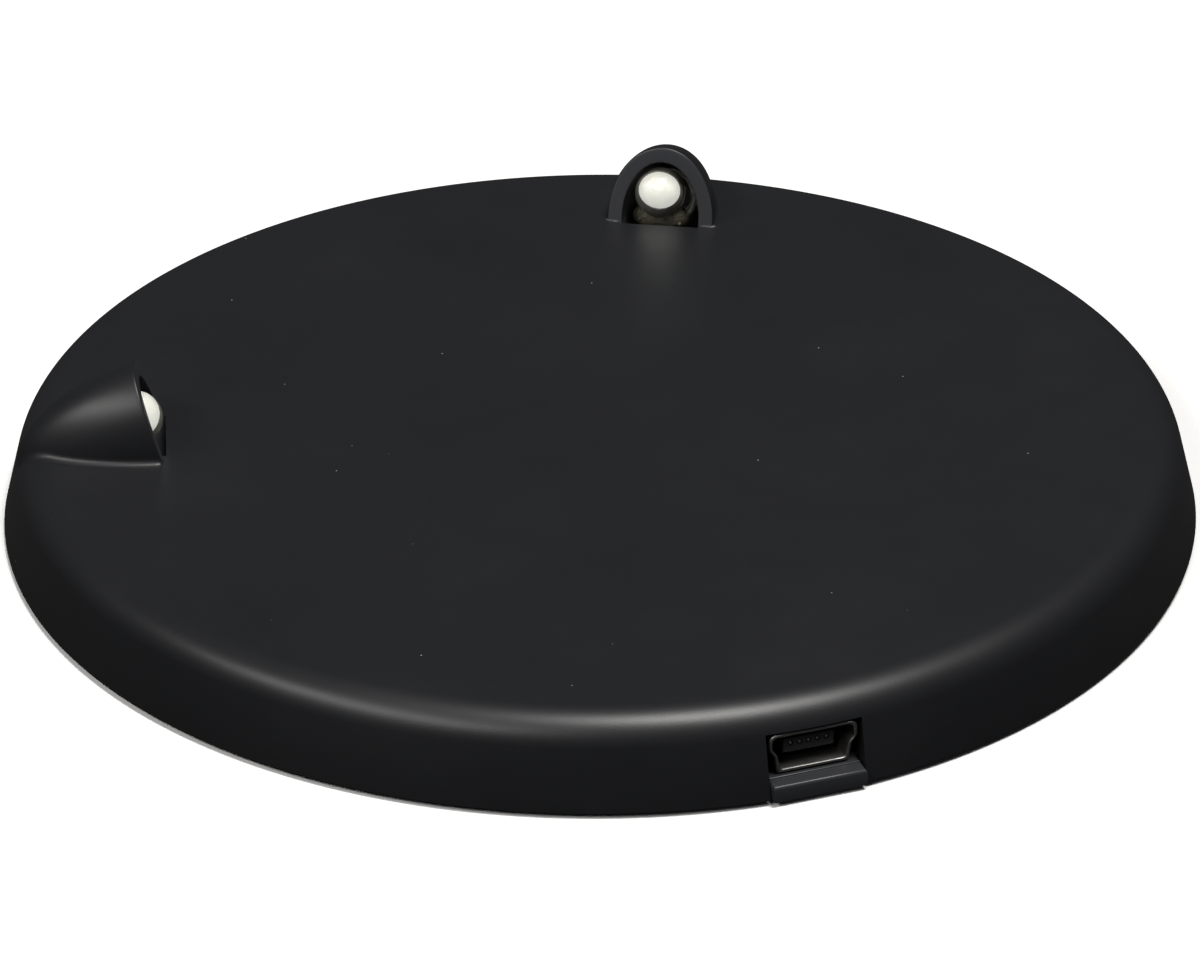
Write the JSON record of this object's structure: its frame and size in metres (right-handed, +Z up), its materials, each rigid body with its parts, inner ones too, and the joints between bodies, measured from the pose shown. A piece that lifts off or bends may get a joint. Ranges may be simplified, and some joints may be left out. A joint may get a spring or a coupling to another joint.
{
  "type": "wireless charging pad",
  "caption": "Low round black charging pad with a rounded rim, small hooded lamps on its top that shine towards the middle, and a mini USB power socket in its skirt",
  "frame": {"origin": "on the pad's axis, at table level under its feet", "axes": "+Z up along the pad's axis, -Y out through the USB socket"},
  "size_m": [0.11, 0.1102, 0.0157],
  "materials": {
    "satin_black_plastic": "satin",
    "black_rubber": "matte",
    "zinc_steel": "satin",
    "green_laminate": "satin",
    "tinned_steel": "satin",
    "dark_insulator": "matte",
    "nickel_plate": "satin",
    "chip_resin": "matte",
    "tan_ceramic": "matte",
    "grey_ferrite": "matte",
    "enamelled_copper": "satin",
    "adhesive_tape": "matte",
    "clear_epoxy": "gloss",
    "clear_glue": "satin",
    "red_insulation": "satin",
    "black_insulation": "satin"
  },
  "bodies": {
    "root": {"top_shell": "satin_black_plastic", "base_plate": "satin_black_plastic", "rubber_foot_1": "black_rubber", "rubber_foot_2": "black_rubber", "rubber_foot_3": "black_rubber", "rubber_foot_4": "black_rubber", "case_screw_1": "zinc_steel", "case_screw_2": "zinc_steel", "case_screw_3": "zinc_steel", "case_screw_4": "zinc_steel", "circuit_board": "green_laminate", "usb_shell": "tinned_steel", "lamp_anode_left": "tinned_steel", "lamp_anode_back": "tinned_steel", "lamp_cathode_left": "tinned_steel", "lamp_cathode_back": "tinned_steel", "usb_insulator": "dark_insulator", "usb_contact_1": "nickel_plate", "usb_contact_2": "nickel_plate", "usb_contact_3": "nickel_plate", "usb_contact_4": "nickel_plate", "usb_contact_5": "nickel_plate", "coil_driver": "chip_resin", "control_chip": "chip_resin", "lamp_resistor_left": "chip_resin", "lamp_resistor_back": "chip_resin", "tank_capacitor": "tan_ceramic", "input_capacitor": "tan_ceramic", "power_inductor": "grey_ferrite", "ferrite_sheet": "grey_ferrite", "charging_coil": "enamelled_copper", "coil_tape": "adhesive_tape", "lamp_lens_left": "clear_epoxy", "lamp_lens_back": "clear_epoxy", "lamp_glue_left": "clear_glue", "lamp_glue_back": "clear_glue", "lamp_wire_left_red": "red_insulation", "lamp_wire_back_red": "red_insulation", "lamp_wire_left_black": "black_insulation", "lamp_wire_back_black": "black_insulation"}
  },
  "joints": []
}
